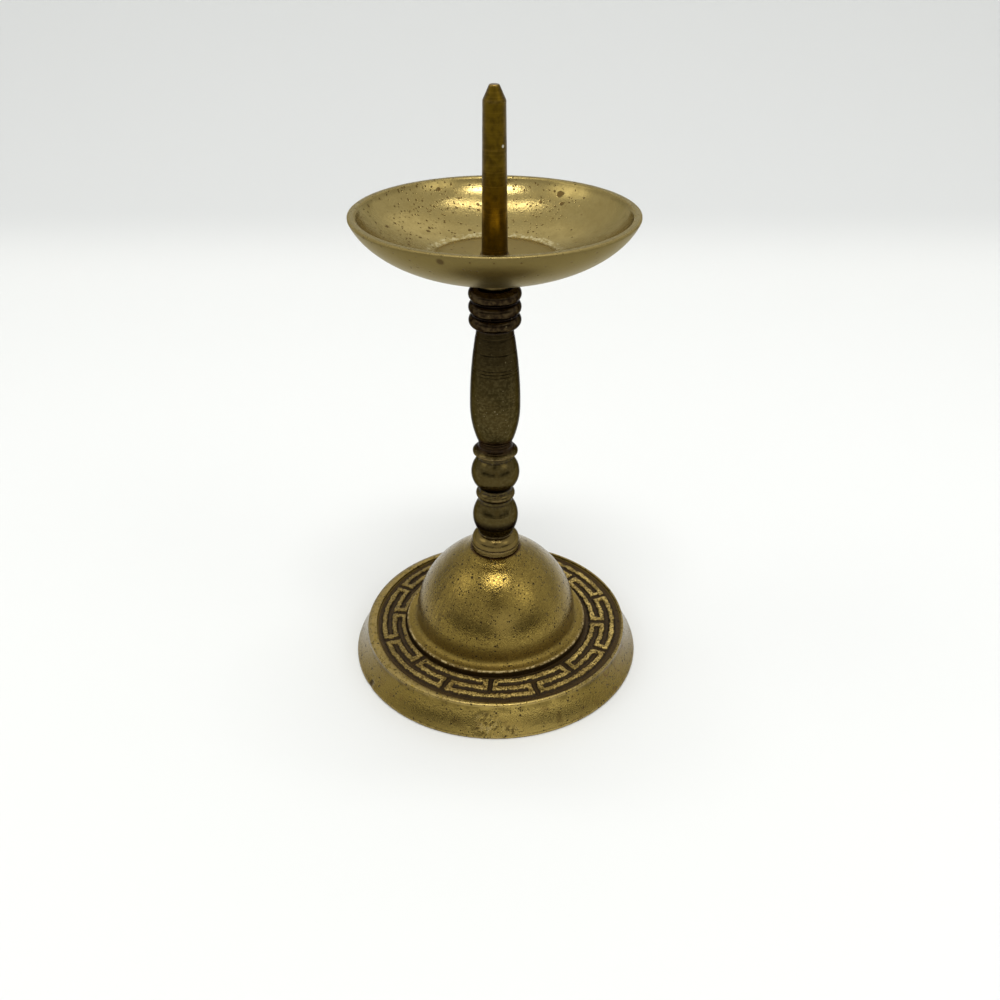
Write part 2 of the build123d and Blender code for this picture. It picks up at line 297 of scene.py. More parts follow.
def seam_outline(node):
    """(radius, height) points round the half section of a CAD node, and whether they close on themselves."""
    solid = bmesh.new()
    solid.from_mesh(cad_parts[node].data)
    bmesh.ops.remove_doubles(solid, verts=solid.verts, dist=WELD)
    solid.verts.index_update()
    seam = [v for v in solid.verts if abs(v.co.y) < WELD and v.co.x > WELD]
    on_seam = {v.index for v in seam}

    def neighbours(vertex):
        others = [edge.other_vert(vertex) for edge in vertex.link_edges]
        return sorted((v for v in others if v.index in on_seam), key=lambda v: (v.co.z, v.co.x))

    ends = [v for v in seam if len(neighbours(v)) == 1]
    path = [min(ends or seam, key=lambda v: (v.co.z, v.co.x))]
    walked = {path[0].index}
    while True:
        onward = [v for v in neighbours(path[-1]) if v.index not in walked]
        if not onward:
            break
        path.append(onward[0])
        walked.add(onward[0].index)
    points = [(v.co.x, v.co.z) for v in path]
    on_axis = bool(ends) and node in ("stem", "spike")
    if on_axis:
        points = [(0.0, points[0][1])] + points + [(0.0, points[-1][1])]
    solid.free()
    points = np.array(points)
    radius, height = points.T
    area = np.sum(radius * np.roll(height, -1) - np.roll(radius, -1) * height)
    return (points if area > 0 else points[::-1]), not on_axis


# %% [markdown]
# ## A finer outline
# The seam has only as many points as the solid needed. Between them the true curve is an arc, so each
# stretch is a cubic that leaves and arrives along the arc's own direction. Corners and long straight runs
# are kept straight. Then the whole line is blurred by a hair, because no edge of an old brass stand is
# sharp. How much the line bends tells later where metal is rubbed bright and where dirt gathers.

# %% Refine an outline
FINE_STEP = 0.04 * MM
CORNER = math.radians(24)
STRAIGHT_SHARE = 3.0
BEND_BLUR = 0.22 * MM
BEND_FULL = 1.6


def blurred(values, blur, closed):
    """Gaussian blur of evenly spaced values, with its width as a length."""
    reach = max(1, round(3 * blur / FINE_STEP))
    weights = np.exp(-0.5 * (np.arange(-reach, reach + 1) * FINE_STEP / blur) ** 2)
    ends = {"mode": "wrap"} if closed else {"mode": "reflect", "reflect_type": "odd"}
    padded = np.pad(values, reach, **ends)
    return np.convolve(padded, weights / weights.sum(), mode="valid")


def refine(points, closed, blur):
    """Even, slightly rounded points along an outline, with the edge, crease and upward facing at each."""
    count = len(points)
    chords = np.roll(points, -1, 0) - points
    lengths = np.linalg.norm(chords, axis=1)
    ways = chords / lengths[:, None]
    spans = range(count if closed else count - 1)

    def heading_at(index, way):
        """The direction of the curve at a point, or of the stretch itself where the point is a corner."""
        before, after = (index - 1) % count, index % count
        if not closed and index % count in (0, count - 1):
            return way
        if np.dot(ways[before], ways[after]) < math.cos(CORNER):
            return way
        if lengths[after] > lengths[before] * STRAIGHT_SHARE:
            return ways[after]
        if lengths[before] > lengths[after] * STRAIGHT_SHARE:
            return ways[before]
        turned = ways[before] * lengths[after] + ways[after] * lengths[before]
        return turned / np.linalg.norm(turned)

    fine = []
    for i in spans:
        steps = max(1, round(lengths[i] / FINE_STEP))
        t = (np.arange(steps) / steps)[:, None]
        leave = heading_at(i, ways[i]) * lengths[i]
        arrive = heading_at(i + 1, ways[i]) * lengths[i]
        here, there = points[i], points[(i + 1) % count]
        fine.append((2 * t**3 - 3 * t**2 + 1) * here + (t**3 - 2 * t**2 + t) * leave
                    + (3 * t**2 - 2 * t**3) * there + (t**3 - t**2) * arrive)
    if not closed:
        fine.append(points[-1:])
    fine = np.concatenate(fine)
    fine = np.stack([blurred(fine[:, axis], blur, closed) for axis in (0, 1)], axis=1)
    fine[:, 0] = np.maximum(fine[:, 0], 0)
    slope = np.gradient(fine, axis=0)
    way = np.unwrap(np.arctan2(slope[:, 1], slope[:, 0]))
    bend = blurred(np.gradient(way) / FINE_STEP, BEND_BLUR, False) * MM / BEND_FULL
    return fine, {"edge": np.clip(bend, 0, 1), "crease": np.clip(-bend, 0, 1), "up": -np.cos(way)}


# %% [markdown]
# ## Spinning an outline
# A lathe spins the outline into a skin of rows. A row may have more or fewer points round it than the next,
# so that the key band can be fine and the inside of the casting coarse: where the number halves, a row of
# five-sided faces joins the two. Each point keeps what the outline knew about it, as an attribute that the
# materials read.

# %% Spin an outline


def pick_rows(fine, spacing, closed):
    """Indices along a fine outline, as far apart as the spacing at each place says."""
    rows, travelled = [0], 0.0
    for index in range(1, len(fine)):
        travelled += FINE_STEP
        if travelled >= spacing[index]:
            rows.append(index)
            travelled = 0.0
    if not closed and rows[-1] != len(fine) - 1:
        rows.append(len(fine) - 1)
    return np.array(rows)


def join_rows(low, high):
    """Faces between two rows of point numbers, where one may be a pole or have half as many points."""
    faces = []
    if len(low) == 1 or len(high) == 1:
        ring, pole = (high, low[0]) if len(low) == 1 else (low, high[0])
        for j in range(len(ring)):
            pair = (ring[j], ring[(j + 1) % len(ring)])
            faces.append((pair[1], pair[0], pole) if len(low) == 1 else (pair[0], pair[1], pole))
        return faces
    for j in range(min(len(low), len(high))):
        sides = []
        for ring in (low, high):
            share = len(ring) // min(len(low), len(high))
            sides.append([ring[(j * share + k) % len(ring)] for k in range(share + 1)])
        faces.append(tuple(sides[0] + sides[1][::-1]))
    return faces


def spin(name, rows, columns, closed, attributes):
    """A mesh object from (radius, height) rows, each with its own number of points round it."""
    points, rings = [], []
    for (radius, height), around in zip(rows, columns):
        around = 1 if radius < WELD else around
        turns = np.arange(around) * 2 * math.pi / around
        ring = np.stack([radius * np.cos(turns), radius * np.sin(turns), np.full(around, height)], axis=1)
        rings.append(list(range(len(points), len(points) + around)))
        points.extend(ring.tolist())
    pairs = list(zip(rings, rings[1:])) + ([(rings[-1], rings[0])] if closed else [])
    faces = [face for low, high in pairs for face in join_rows(low, high)]
    mesh = bpy.data.meshes.new(name)
    mesh.from_pydata(points, [], faces)
    mesh.polygons.foreach_set("use_smooth", [True] * len(faces))
    for label, row_values in attributes.items():
        values = np.concatenate([np.full(len(ring), value) for ring, value in zip(rings, row_values)])
        mesh.attributes.new(label, "FLOAT", "POINT").data.foreach_set("value", values.astype(np.float32))
    piece = bpy.data.objects.new(name, mesh)
    scene.collection.objects.link(piece)
    triangles = sum(len(face) - 2 for face in faces)
    print(f"{name}: {len(rows)} rows, {len(points)} points, {triangles} triangles")
    return piece


def engrave(fine, grooves):
    """Cuts fine grooves into the outside of an outline: height, depth and width in millimetres."""
    outside = fine[:, 0] > 3 * MM
    for height, depth, width in grooves:
        fine[outside, 0] -= depth * MM * np.exp(-((fine[outside, 1] / MM - height) / width) ** 2)


def turned_piece(name, node, blur, row_step, around, grooves=()):
    """A turned piece straight from its solid's outline, with closer rows where it is grooved."""
    outline, closed = seam_outline(node)
    fine, known = refine(outline, closed, blur)
    engrave(fine, grooves)
    spacing = np.full(len(fine), row_step)
    for height, _, width in grooves:
        spacing[np.abs(fine[:, 1] / MM - height) < 3 * width] = width * MM / 2
    rows = pick_rows(fine, spacing, closed)
    row_values = {label: values[rows] for label, values in known.items()}
    return spin(name, fine[rows], [around] * len(rows), closed, row_values)


# %% [markdown]
# ## Shared finishes
# Old brass has the same few things wherever it is: cloudy tarnish, small dark pits, fine rings from
# turning, edges rubbed bright and creases full of dirt. Each is a node group that is built once and placed
# in every material with its own values. They all work in millimetres on the piece's own coordinates, so a
# pit has a real size.

# %% Group: millimetres
wiring, entry, leave = open_group(
    "millimetres", "ShaderNodeTree", {},
    {"Place": "Vector", "Radius": "Float", "Height": "Float", "Rings": "Vector", "Around": "Vector"})
place = wiring.add("ShaderNodeTexCoord").outputs["Object"]
place = wiring.vector("SCALE", place, 1 / MM)
flat = wiring.vector("MULTIPLY", place, (1, 1, 0))
radius = wiring.vector("LENGTH", flat)
height = wiring.add("ShaderNodeSeparateXYZ", {0: place}).outputs[2]
rings = wiring.add("ShaderNodeCombineXYZ", {0: radius, 2: height}).outputs[0]
around = wiring.vector("NORMALIZE", flat)
around = wiring.vector("SCALE", around, 20.0)
lifted = wiring.add("ShaderNodeCombineXYZ", {2: wiring.math("MULTIPLY", height, 0.05)}).outputs[0]
around = wiring.vector("ADD", around, lifted)
outputs = {"Place": place, "Radius": radius, "Height": height, "Rings": rings, "Around": around}
for socket_name, value in outputs.items():
    wiring.feed(leave.inputs[socket_name], value)
MILLIMETRES = wiring.tree

# %% Group: clouds of tarnish
wiring, entry, leave = open_group(
    "clouds", "ShaderNodeTree",
    {"Place": "Vector", "Per mm": "Float", "Low": "Float", "High": "Float", "Seed": "Float"},
    {"Mask": "Float"})
cloud = wiring.noise(entry["Place"], entry["Per mm"], 5.0, entry["Seed"])
wiring.feed(leave.inputs["Mask"], wiring.fade(cloud, entry["Low"], entry["High"]))
CLOUDS = wiring.tree

# %% Group: pits
wiring, entry, leave = open_group(
    "pits", "ShaderNodeTree",
    {"Place": "Vector", "Spacing": "Float", "Size": "Float", "Amount": "Float", "Seed": "Float"},
    {"Mask": "Float"})
per_mm = wiring.math("DIVIDE", 1.0, entry["Spacing"])
ragged_scale = wiring.math("MULTIPLY", per_mm, 2.5)
ragged = wiring.add("ShaderNodeTexNoise", {"Vector": entry["Place"], "Scale": ragged_scale})
shift = wiring.vector("SCALE", ragged.outputs["Color"], 0.45)
cells = wiring.vector("SCALE", entry["Place"], per_mm)
cells = wiring.vector("ADD", cells, shift)
cells = wiring.vector("ADD", cells, entry["Seed"])
grid = wiring.add("ShaderNodeTexVoronoi", {"Vector": cells, "Scale": 1.0})
draw = wiring.add("ShaderNodeSeparateColor", {0: grid.outputs["Color"]})
reach = wiring.math("MULTIPLY", entry["Size"], wiring.math("MULTIPLY_ADD", draw.outputs[1], 0.7, 0.3))
spot = wiring.fade(grid.outputs["Distance"], reach, wiring.math("MULTIPLY", reach, 0.6))
chosen = wiring.math("LESS_THAN", draw.outputs[0], entry["Amount"])
wiring.feed(leave.inputs["Mask"], wiring.math("MULTIPLY", spot, chosen))
PITS = wiring.tree

# %% Group: rings from turning
wiring, entry, leave = open_group(
    "turning_rings", "ShaderNodeTree",
    {"Rings": "Vector", "Per mm": "Float", "Seed": "Float"}, {"Ridge": "Float"})
wiring.feed(leave.inputs["Ridge"], wiring.noise(entry["Rings"], entry["Per mm"], 3.0, entry["Seed"]))
TURNING_RINGS = wiring.tree

# %% Group: rubbed edges and dirty creases
wiring, entry, leave = open_group(
    "wear", "ShaderNodeTree", {"Place": "Vector", "Per mm": "Float"}, {"Edge": "Float", "Crease": "Float"})
patchy = wiring.noise(entry["Place"], entry["Per mm"], 4.0)
for label, socket_name, full in (("edge", "Edge", 0.75), ("crease", "Crease", 0.8)):
    bend = wiring.add("ShaderNodeAttribute", attribute_name=label).outputs["Fac"]
    broken = wiring.math("MULTIPLY", bend, wiring.fade(patchy, 0.25, 0.65))
    wiring.feed(leave.inputs[socket_name], wiring.fade(broken, 0.05, full))
WEAR = wiring.tree
print("groups:", [group.name for group in bpy.data.node_groups])

# %% [markdown]
# ## Brass
# Each finish is a metal whose colour is laid on in thin layers, each where its mask says: tarnish and dirt as
# they come on the real thing, and in some places painted light and shade. Dirt is not shiny, so the same
# masks also take some of the metal and the gloss away. Bumps are kept small: they give the glint of pits and
# tool marks, while every larger shape is in the mesh.

# %% Start a brass material


class Finish:
    """One brass material with the shared groups at hand."""

    def __init__(self, name):
        self.material = bpy.data.materials.new(name)
        self.material.use_nodes = True
        self.shader = self.material.node_tree.nodes["Principled BSDF"]
        self.wiring = Wiring(self.material.node_tree)
        self.frame = self.group(MILLIMETRES)

    def group(self, tree, **values):
        named = {key.replace("_", " "): value for key, value in values.items()}
        return self.wiring.add("ShaderNodeGroup", named, node_tree=tree).outputs

    def clouds(self, per_mm, low, high, seed=0.0, place="Place"):
        """Cloudy tarnish. With the place Around it is drawn out up and down the piece, as from brushing."""
        return self.group(CLOUDS, Place=self.frame[place], Per_mm=per_mm, Low=low, High=high, Seed=seed)[0]

    def pits(self, spacing, size, amount, seed=0.0):
        place = self.frame["Place"]
        return self.group(PITS, Place=place, Spacing=spacing, Size=size, Amount=amount, Seed=seed)[0]

    def rings(self, per_mm, seed=0.0):
        return self.group(TURNING_RINGS, Rings=self.frame["Rings"], Per_mm=per_mm, Seed=seed)[0]

    def near(self, middle, start, end):
        """1 close to a place in millimetres, 0 beyond the start distance."""
        return self.wiring.fade(self.wiring.vector("DISTANCE", self.frame["Place"], middle), start, end)

    def wear(self, per_mm):
        found = self.group(WEAR, Place=self.frame["Place"], Per_mm=per_mm)
        return found["Edge"], found["Crease"]

    def attribute(self, label):
        return self.wiring.add("ShaderNodeAttribute", attribute_name=label).outputs["Fac"]

    def surface(self, colour, roughness, metal, bumps):
        """Feeds the shader. Bumps are (height, depth in mm) pairs, laid over each other."""
        feed = self.wiring.feed
        feed(self.shader.inputs["Base Color"], colour)
        feed(self.shader.inputs["Roughness"], roughness)
        feed(self.shader.inputs["Metallic"], metal)
        normal = None
        for height, depth in bumps:
            values = {"Height": height, "Distance": depth * MM, "Strength": 1.0}
            if normal is not None:
                values["Normal"] = normal
            normal = self.wiring.add("ShaderNodeBump", values).outputs[0]
        feed(self.shader.inputs["Normal"], normal)
        return self.material


# %% [markdown]
# The casting is the most worn. Its dome is pitted and sandy and brushed at the left, and the lighter patch at
# the front is a painted reflection. The skirt is painted darker, with painted light on its front, most
# towards the right, and a painted shadow under the rim. It has a rough patch where the metal ran badly,
# painted with highlights on its ridges and shade in its hollows. The key line is bright on top of a dark
# band, and is painted darker towards the left as shade. Painted shade runs along its walls, a painted shadow
# lies down the flange wall, and painted glints lie along the flange edge.

# %% Cast brass for the foot
WATER_MARK = (26.0, -18.9, 5.8)
NICK = (-30.3, -17.5, 1.2)
ROUGH_PATCH = (-2.2, -33.4, 2.8)
ROUGH_EDGE = (3.0, -34.4, 1.0)
WRINKLE_SLANT = math.radians(-55)
WRINKLE_STRETCH = (2.4, 1, 1)
RUST_SPOT = (14.3, -30.1, 3.1)
PAINTED_REFLECTION_SPOT = (2.1, -17.2, 18.5)
PITTED_SIDE = (-9.0, -12.0, 24.0)
BRUSHED_SIDE = (-14.0, -8.0, 20.0)


def make_cast_brass():
    finish = Finish("cast_brass")
    w = finish.wiring
    place, height, radius = (finish.frame[key] for key in ("Place", "Height", "Radius"))
    sides = w.add("ShaderNodeSeparateXYZ", {0: place}).outputs
    edge, crease = finish.wear(0.9)
    # Tarnish and pits
    broad = finish.clouds(0.09, 0.36, 0.64)
    mottle = finish.clouds(0.9, 0.35, 0.7, 3.0)
    speckle = finish.clouds(3.0, 0.36, 0.64, 11.0)
    sandy = w.both(finish.clouds(4.6, 0.44, 0.60, 27.0), w.fade(height, 9.0, 10.0))
    density = w.math("MULTIPLY_ADD", finish.clouds(0.14, 0.36, 0.62, 7.0), 0.35, 0.14)
    density = w.math("ADD", density, w.scaled(finish.near(PITTED_SIDE, 16.0, 3.0), 0.35))
    brushed = finish.clouds(2.2, 0.44, 0.60, 2.0, "Around")
    brushed = w.both(brushed, finish.near(BRUSHED_SIDE, 13.0, 5.0))
    cast_patch = w.most(finish.near(ROUGH_PATCH, 3.9, 1.8), finish.near(ROUGH_EDGE, 2.8, 1.0))
    blowholes = w.both(finish.pits(0.6, 0.55, 0.5, 21.0), w.scaled(cast_patch, 0.35))
    pits = w.most(finish.pits(0.45, 0.52, density), finish.pits(1.1, 0.34, 0.28, 5.0), blowholes)
    seam = w.both(w.fade(radius, 6.3, 5.8), w.fade(height, 26.0, 27.0))
    # The skirt
    skirt = w.fade(radius, 31.0, 31.8)
    stains = w.both(skirt, finish.clouds(0.45, 0.54, 0.70, 17.0))
    stains = w.most(stains, finish.near(RUST_SPOT, 0.9, 0.4))
    lit_share = w.math("MULTIPLY_ADD", w.fade(sides[0], -14.0, 3.0), 0.55, 0.30)
    lit_skirt = w.both(skirt, w.fade(sides[1], -24.0, -32.0), lit_share)
    under_rim = w.window(height, 5.3, 6.2, 6.6, 7.2)
    under_rim = w.both(under_rim, skirt, finish.clouds(0.35, 0.35, 0.60, 31.0))
    water_mark = w.both(finish.near(WATER_MARK, 1.35, 1.1), finish.near(WATER_MARK, 0.7, 0.95))
    slant = {"Vector": place, "Rotation": (0, WRINKLE_SLANT, 0), "Scale": WRINKLE_STRETCH}
    slanted = w.add("ShaderNodeMapping", slant, vector_type="TEXTURE").outputs[0]
    wrinkle = w.noise(slanted, 1.0, 2.0, 5.0)
    ridge = w.both(cast_patch, w.fade(wrinkle, 0.52, 0.64))
    valley = w.both(cast_patch, w.fade(wrinkle, 0.47, 0.37))
    # The key band and the flange
    band, relief, away = (finish.attribute(label) for label in ("band", "relief", "away"))
    grain = w.noise(place, 4.0, 4.0)
    sunk = w.both(band, w.math("SUBTRACT", 1.0, w.fade(relief, 0.15, 0.70)))
    wall = w.both(sunk, w.fade(away, 0.80, 0.05))
    soiled = w.both(sunk, w.fade(grain, 0.40, 0.58))
    line_top = w.both(band, w.fade(relief, 0.35, 0.80))
    worn_and_shaded_line = w.layered((0.72, 0.54, 0.18), [
        (finish.clouds(0.22, 0.40, 0.62, 23.0), 1.0, (0.44, 0.315, 0.10)),
        # painted shade: the worn line tops are painted darker towards the left
        (w.fade(sides[0], -8.0, -22.0), 0.65, (0.17, 0.122, 0.042)),
        (finish.clouds(2.2, 0.42, 0.62, 25.0), 1.0, (0.15, 0.10, 0.03)),
    ])
    on_flange = w.both(w.fade(height, 10.0, 9.3), w.fade(radius, 22.8, 22.4))
    flange_edge = w.both(w.window(radius, 21.75, 22.0, 22.3, 22.7), w.fade(height, 7.8, 8.3))
    glint = w.both(flange_edge, finish.clouds(1.5, 0.47, 0.58, 29.0))
    flange_wall = w.both(w.fade(height, 8.6, 8.1), w.window(radius, 21.6, 22.0, 22.5, 22.9))
    # All of it together
    colour = w.layered((0.33, 0.235, 0.056), [
        (broad, 1.0, (0.26, 0.185, 0.041)),
        (mottle, 0.45, (0.20, 0.135, 0.034)),
        (speckle, 0.55, (0.12, 0.078, 0.019)),
        (brushed, 0.7, (0.13, 0.09, 0.027)),
        (sandy, 0.45, (0.10, 0.064, 0.014)),
        # painted reflection: a lighter patch on the front of the dome
        (finish.near(PAINTED_REFLECTION_SPOT, 5.0, 0.5), 0.5, (0.44, 0.32, 0.09)),
        # painted light: the skirt is painted darker all round, and lit_skirt paints its front lighter, most
        # towards the right
        (skirt, 0.6, (0.17, 0.118, 0.026)),
        (lit_skirt, 1.0, (0.46, 0.335, 0.092)),
        # painted shadow: a broken dark line just under the rim
        (under_rim, 0.6, (0.085, 0.058, 0.013)),
        (stains, 0.4, (0.13, 0.070, 0.020)),
        (edge, 0.35, (0.46, 0.35, 0.15)),
        (crease, 0.3, (0.11, 0.07, 0.018)),
        (line_top, 1.0, worn_and_shaded_line),
        (sunk, 1.0, (0.084, 0.053, 0.018)),
        (soiled, 0.6, (0.036, 0.020, 0.007)),
        # painted shade, with some dirt: the recess is painted nearly black along the foot of each line wall
        (wall, 0.75, (0.014, 0.008, 0.003)),
        (pits, 0.95, (0.022, 0.012, 0.003)),
        (seam, 0.9, (0.035, 0.014, 0.005)),
        (water_mark, 0.55, (0.10, 0.045, 0.02)),
        (finish.near(NICK, 1.3, 0.5), 0.9, (0.03, 0.015, 0.008)),
        # the flange edge is painted darker, with painted glints broken along it
        (flange_edge, 0.7, (0.13, 0.082, 0.026)),
        (glint, 0.9, (0.58, 0.46, 0.22)),
        # painted shadow on the wall that drops from the flange into the band
        (flange_wall, 0.95, (0.046, 0.027, 0.010)),
        # painted highlights on the ridges of the rough patch and painted shade in its hollows
        (ridge, 0.5, (0.52, 0.40, 0.17)),
        (valley, 0.65, (0.065, 0.040, 0.011)),
    ])
    low_dome = w.both(w.fade(height, 15.0, 11.0), w.fade(radius, 31.6, 31.0))
    dull = [w.scaled(low_dome, 1.3), w.scaled(speckle, 0.35), w.scaled(on_flange, 1.3)]
    matt = w.most(*dull, pits, sunk, line_top, w.scaled(edge, 0.8))
    roughness = w.math("MULTIPLY_ADD", matt, 0.32, 0.13)
    metal = w.math("SUBTRACT", 1.0, w.scaled(w.most(pits, soiled, wall), 0.2))
    rough_band = w.both(w.most(band, flange_edge), grain)
    crumpled = w.both(cast_patch, wrinkle)
    bumps = [(w.scaled(pits, -1.0), 0.05), (rough_band, 0.14), (crumpled, 0.45)]
    bumps += [(speckle, 0.014), (mottle, 0.012)]
    return finish.surface(colour, roughness, metal, bumps)


CAST_BRASS = make_cast_brass()

# %% [markdown]
# The stem has gone nearly black, most of all in its grooves. Towards the top it is painted darker still,
# partly as patina and partly as painted shade from the pan above. Painted shade lies in a dark band under the
# baluster, and painted shade with some grime under each ball. The balls and the collar, which hands hold, are
# browner, and the belly of the baluster has fine bright scratches.

# %% Dark patina for the stem


def make_stem_patina():
    finish = Finish("stem_patina")
    w = finish.wiring
    height = finish.frame["Height"]
    edge, crease = finish.wear(1.1)
    broad = finish.clouds(0.16, 0.36, 0.66, 1.0)
    mottle = finish.clouds(1.6, 0.40, 0.68, 2.0)
    rings = finish.rings(5.0)
    belly = w.window(height, 60.0, 63.0, 68.0, 74.0)
    scratches = finish.pits(0.6, 0.34, w.math("MULTIPLY_ADD", belly, 0.22, 0.06), 6.0)
    balls, collar = w.fade(height, 57.0, 54.5), w.fade(height, 36.0, 32.5)
    upper, top_rings = w.fade(height, 64.0, 85.0), w.fade(height, 84.2, 85.2)
    under_baluster = w.window(height, 55.6, 56.4, 58.8, 60.0)
    under_balls = w.most(
        w.window(height, 45.7, 46.1, 46.6, 48.0), w.window(height, 35.9, 36.3, 37.2, 38.8))
    colour = w.layered((0.051, 0.036, 0.010), [
        (broad, 1.0, (0.031, 0.023, 0.006)),
        (balls, 0.6, (0.075, 0.053, 0.016)),
        (mottle, 0.65, (0.100, 0.078, 0.030)),
        (w.fade(rings, 0.55, 0.75), 0.45, (0.12, 0.095, 0.040)),
        (w.fade(rings, 0.44, 0.28), 0.7, (0.016, 0.010, 0.004)),
        # patina and painted shade from the pan: darker towards the top, darkest on the top rings
        (upper, 0.75, (0.014, 0.009, 0.004)),
        (top_rings, 0.8, (0.010, 0.005, 0.003)),
        # painted shade: a dark band round the foot of the baluster and the ring below it
        (under_baluster, 0.75, (0.020, 0.009, 0.005)),
        (collar, 0.8, (0.165, 0.116, 0.036)),
        # painted shade with some grime: dark bands under each ball
        (under_balls, 0.85, (0.010, 0.006, 0.003)),
        (edge, 0.40, (0.24, 0.17, 0.075)),
        (crease, 0.7, (0.016, 0.008, 0.004)),
        (scratches, 0.5, (0.30, 0.25, 0.14)),
    ])
    roughness = w.math("MULTIPLY_ADD", mottle, 0.12, 0.13)
    finish.shader.inputs["Specular Tint"].default_value = (0.42, 0.42, 0.42, 1)
    metal = w.math("SUBTRACT", 0.97, w.scaled(crease, 0.4))
    return finish.surface(colour, roughness, metal, [(rings, 0.022), (mottle, 0.008)])


STEM_PATINA = make_stem_patina()

# %% [markdown]
# The pan is bright inside and duller outside, where it is also painted darker as painted shade. Inside, the
# lower wall is painted darker as painted shade; low on the outside the pan is painted lighter as painted
# light. Pits lie in clusters towards the back, and a ring of painted glints runs round the edge of its flat
# floor.

# %% Dulled brass for the drip pan
PIT_CLUSTERS = [((-16.0, 22.0, 106.0), 17.0, 5.0, 1.0), ((-24.0, 7.0, 104.5), 12.0, 4.0, 0.5),
                ((10.0, 21.5, 105.0), 12.0, 4.0, 0.6)]
BIG_PITS = [((14.2, 21.6, 106.6), 0.9, 0.6), ((14.5, 19.5, 105.1), 0.6, 0.4)]
PAN_STAIN = (-9.6, -26.9, 107.5)


def make_pan_brass():
    finish = Finish("pan_brass")
    w = finish.wiring
    height, radius = finish.frame["Height"], finish.frame["Radius"]
    edge, crease = finish.wear(0.8)
    broad = finish.clouds(0.07, 0.36, 0.66, 4.0)
    mottle = finish.clouds(0.6, 0.38, 0.7, 6.0)
    speckle = finish.clouds(2.6, 0.36, 0.66, 13.0)
    rings = finish.rings(3.0, 2.0)
    inside = w.fade(finish.attribute("up"), -0.15, 0.1)
    outside = w.math("SUBTRACT", 1.0, inside)
    clusters = [w.scaled(finish.near(*place), share) for *place, share in PIT_CLUSTERS]
    amount = w.math("MULTIPLY_ADD", w.both(w.most(*clusters), inside), 0.42, 0.05)
    pits = [finish.pits(0.6, 0.56, amount, 2.0), finish.pits(1.7, 0.32, w.scaled(amount, 0.9), 8.0)]
    pits = w.most(*pits, *(finish.near(*pit) for pit in BIG_PITS))
    stained = w.both(w.fade(height, 95.6, 93.9), finish.clouds(0.7, 0.3, 0.6))
    stained = w.most(finish.near(PAN_STAIN, 1.0, 0.45), stained)
    low_wall = w.both(inside, w.fade(height, 103.0, 97.5))
    floor_edge = w.both(w.window(radius, 12.4, 13.0, 14.2, 14.9), inside)
    sparkle = w.both(floor_edge, finish.clouds(1.3, 0.48, 0.60, 19.0))
    below = w.both(w.window(height, 94.9, 96.2, 97.0, 100.0), outside)
    lip = w.both(w.fade(height, 107.6, 108.3), w.fade(radius, 26.5, 27.3))
    on_floor = w.both(inside, w.fade(radius, 14.0, 10.5))
    colour = w.layered((0.37, 0.285, 0.105), [
        (broad, 1.0, (0.31, 0.235, 0.082)),
        (mottle, 0.4, (0.26, 0.19, 0.060)),
        (speckle, 0.25, (0.20, 0.14, 0.045)),
        # duller metal and painted shade: the outside of the pan is painted darker
        (outside, 0.80, (0.135, 0.100, 0.030)),
        # painted shade: the lower inside wall is painted darker
        (low_wall, 0.5, (0.19, 0.15, 0.062)),
        # painted glints round the edge of the pan's floor
        (sparkle, 0.55, (0.58, 0.51, 0.30)),
        # painted light: low on the outside the pan is painted lighter
        (below, 0.8, (0.40, 0.305, 0.10)),
        (lip, 0.35, (0.15, 0.112, 0.040)),
        (on_floor, 0.35, (0.22, 0.185, 0.092)),
        (crease, 0.3, (0.13, 0.08, 0.03)),
        (pits, 0.85, (0.085, 0.046, 0.010)),
        (stained, 0.8, (0.055, 0.030, 0.006)),
    ])
    matt = w.most(w.scaled(mottle, 0.4), pits, edge, on_floor)
    matt = w.most(matt, w.scaled(outside, 0.7), w.scaled(below, 1.5))
    roughness = w.math("MULTIPLY_ADD", matt, 0.28, 0.15)
    metal = w.math("SUBTRACT", 1.0, w.scaled(w.most(pits, stained), 0.1))
    finish.shader.inputs["Specular Tint"].default_value = (0.90, 0.85, 0.70, 1)
    bumps = [(w.scaled(pits, -1.0), 0.05), (rings, 0.010), (speckle, 0.006)]
    return finish.surface(colour, roughness, metal, bumps)


PAN_BRASS = make_pan_brass()

# %% [markdown]
# The spike is a drawn rod, amber from old wax, with faint rings along it and one pale speck.

# %% Amber brass for the spike
PALE_SPECK = (1.7, -1.8, 121.6)


def make_spike_brass():
    finish = Finish("spike_brass")
    w = finish.wiring
    edge, crease = finish.wear(1.2)
    mottle = finish.clouds(0.8, 0.36, 0.7, 9.0)
    rings = finish.rings(4.0, 5.0)
    colour = w.layered((0.106, 0.065, 0.005), [
        (mottle, 1.0, (0.068, 0.041, 0.004)),
        (w.fade(rings, 0.5, 0.75), 0.4, (0.20, 0.12, 0.02)),
        (edge, 0.5, (0.30, 0.20, 0.06)),
        (crease, 0.8, (0.03, 0.015, 0.004)),
        (finish.near(PALE_SPECK, 0.4, 0.2), 1.0, (0.50, 0.46, 0.36)),
    ])
    roughness = w.math("MULTIPLY_ADD", mottle, 0.12, 0.30)
    return finish.surface(colour, roughness, 1.0, [(rings, 0.02)])


SPIKE_BRASS = make_spike_brass()

# %% [markdown]
# The nut and washer sit in the dark under the dome, so they are plain dull brass with a few pits.

# %% Dull brass for the nut and washer


